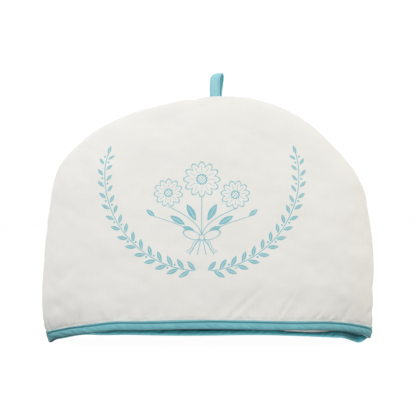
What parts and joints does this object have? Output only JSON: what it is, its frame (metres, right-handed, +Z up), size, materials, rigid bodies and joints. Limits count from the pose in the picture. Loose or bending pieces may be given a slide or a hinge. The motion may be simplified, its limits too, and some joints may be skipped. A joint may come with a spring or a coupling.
{
  "type": "tea cosy",
  "caption": "Padded domed tea cosy that stands open on its hem, with teal bias binding round the mouth and a hanging loop in the top seam.",
  "frame": {"origin": "on the floor under the middle of the cosy, where its hem rests", "axes": "+Z up, +X to the right as seen from the front, -Y towards the front, whose hem is arched"},
  "size_m": [0.3502, 0.1215, 0.2845],
  "materials": {
    "cotton": "matt plain-weave cotton over wadding",
    "lining": "matt plain-weave cotton",
    "tape": "folded cotton bias tape, soft sheen"
  },
  "bodies": {
    "root": {"front_panel": "cotton", "back_panel": "cotton", "front_lining": "lining", "back_lining": "lining", "hem_binding": "tape", "hanging_loop": "tape"}
  },
  "joints": []
}
